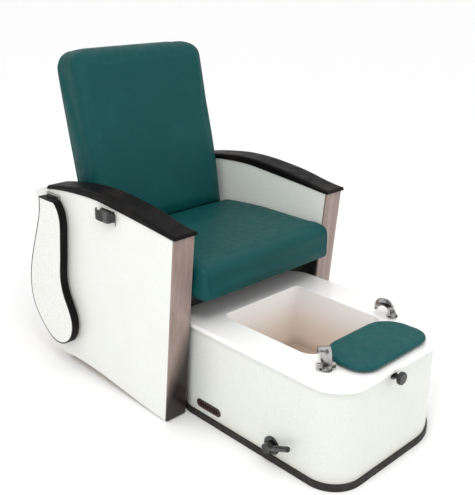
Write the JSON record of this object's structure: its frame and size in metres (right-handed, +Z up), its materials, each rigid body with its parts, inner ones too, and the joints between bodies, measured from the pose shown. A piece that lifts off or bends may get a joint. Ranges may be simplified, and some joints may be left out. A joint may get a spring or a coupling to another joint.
{
  "type": "pedicure spa chair",
  "caption": "Pedicure spa chair: armchair with a reclining upholstered back and fold-up side trays over a foot bath with fill spouts, a drain lever and a height-set footrest.",
  "frame": {"origin": "on the floor, on the middle plane between the side panels, half way between the foremost point (lock knob) and the rearmost point (stowed trays)", "axes": "+Z up; the sitter faces -Y; +X is the sitter's left"},
  "size_m": [0.774, 1.2935, 1.0397],
  "materials": {
    "laminate_white": "satin",
    "core_board": null,
    "trim_taupe": "satin",
    "armrest_urethane": "satin",
    "tray_face": "gloss",
    "edge_black": null,
    "steel_black": "satin",
    "steel_bright": null,
    "chrome": "polished",
    "plywood": null,
    "seat_vinyl": null,
    "back_vinyl": null,
    "pad_vinyl": null,
    "paddle_black": "satin",
    "acrylic_white": "gloss",
    "tub_gelcoat": "satin",
    "ring_grey": null,
    "vent_brown": null,
    "pipe_white": null,
    "pump_grey": null,
    "bush_plastic": null
  },
  "bodies": {
    "frame": {"apron": "laminate_white", "armrest_left": "armrest_urethane", "armrest_right": "armrest_urethane", "base_plate": "tub_gelcoat", "bumper_ring": "ring_grey", "core_frame_left": "core_board", "core_frame_right": "core_board", "cross_rails": "steel_black", "drain_escutcheon": "paddle_black", "drain_loop": "pipe_white", "drain_strainer": "chrome", "drain_valve": "pipe_white", "floor_glides": "edge_black", "footrest_sleeves": "pipe_white", "front_trim_left": "trim_taupe", "front_trim_right": "trim_taupe", "inlet_tails": "pipe_white", "inner_skin_left": "laminate_white", "inner_skin_right": "laminate_white", "jet_nozzles": "pump_grey", "jet_pump": "pump_grey", "lock_housing": "paddle_black", "outer_skin_left": "laminate_white", "outer_skin_right": "laminate_white", "pivot_brackets": "steel_black", "rail_bolts": "steel_bright", "rear_panel": "laminate_white", "release_bracket": "paddle_black", "seat_cushion": "seat_vinyl", "seat_deck": "plywood", "spouts": "chrome", "supply_pipes": "pipe_white", "tray_hinge_pins": "steel_bright", "tray_hinge_plates": "steel_bright", "tub_liner": "acrylic_white", "tub_shell": "tub_gelcoat", "vent_grille": "vent_brown", "waste_outlet": "pipe_white"},
    "back": {"back_cushion": "back_vinyl", "back_board": "plywood", "back_cover": "paddle_black", "torque_tube": "steel_black", "hinge_arms": "steel_black", "recline_lever": "steel_black", "pivot_bushes": "bush_plastic"},
    "spring_cylinder": {"spring_cylinder": "steel_black"},
    "spring_rod": {"spring_rod": "steel_bright"},
    "release_paddle": {"release_paddle": "paddle_black"},
    "tray_right": {"tray_top_right": "tray_face", "tray_band_right": "edge_black", "tray_hinge_leaf_right": "steel_bright"},
    "tray_left": {"tray_top_left": "tray_face", "tray_band_left": "edge_black", "tray_hinge_leaf_left": "steel_bright"},
    "tap_right": {"tap_spindle_right": "chrome"},
    "tap_left": {"tap_spindle_left": "chrome"},
    "drain_lever": {"drain_lever": "paddle_black"},
    "footrest": {"foot_pad": "pad_vinyl", "footrest_frame": "steel_black"},
    "lock_knob": {"lock_knob": "paddle_black"}
  },
  "joints": [
    {"name": "back_recline", "type": "hinge", "parent": "frame", "child": "back", "pos_m": [0, 0.42924, 0.44], "axis": [-1, 0, 0], "range_deg": [0, 28]},
    {"name": "spring_swing", "type": "hinge", "parent": "frame", "child": "spring_cylinder", "pos_m": [0, 0.07124, 0.322], "axis": [1, 0, 0], "range_deg": [0, 2.2]},
    {"name": "spring_stroke", "type": "slide", "parent": "spring_cylinder", "child": "spring_rod", "axis": [0, -1, -0.0084], "range_m": [0, 0.0545]},
    {"name": "paddle_pull", "type": "hinge", "parent": "frame", "child": "release_paddle", "pos_m": [-0.362, 0.20524, 0.604], "axis": [0, 1, 0], "range_deg": [0, 15], "stiffness_Nm_per_rad": 0.6, "springref_deg": -5.73},
    {"name": "tray_right_lift", "type": "hinge", "parent": "frame", "child": "tray_right", "pos_m": [-0.358, 0.50124, 0.592], "axis": [0, 1, 0], "range_deg": [0, 90]},
    {"name": "tray_left_lift", "type": "hinge", "parent": "frame", "child": "tray_left", "pos_m": [0.358, 0.50124, 0.592], "axis": [0, -1, 0], "range_deg": [0, 90]},
    {"name": "tap_right_turn", "type": "hinge", "parent": "frame", "child": "tap_right", "pos_m": [-0.19061, -0.5023, 0.321], "axis": [0.788, -0.6157, 0], "range_deg": [0, 90]},
    {"name": "tap_left_turn", "type": "hinge", "parent": "frame", "child": "tap_left", "pos_m": [0.19761, -0.4333, 0.321], "axis": [0.788, 0.6157, 0], "range_deg": [0, 90]},
    {"name": "drain_turn", "type": "hinge", "parent": "frame", "child": "drain_lever", "pos_m": [-0.278, -0.38576, 0.052], "axis": [-1, 0, 0], "range_deg": [0, 90]},
    {"name": "footrest_lift", "type": "slide", "parent": "frame", "child": "footrest", "axis": [0, 0, 1], "range_m": [0, 0.08]},
    {"name": "lock_pull", "type": "slide", "parent": "frame", "child": "lock_knob", "axis": [0, -1, 0], "range_m": [0, 0.008], "stiffness_N_per_m": 800, "springref_m": -0.004}
  ],
  "couplings": [
    {"joint": "spring_swing", "follows": "back_recline", "ratio": 0.0776},
    {"joint": "spring_stroke", "follows": "back_recline", "m_per_rad": 0.1097}
  ]
}
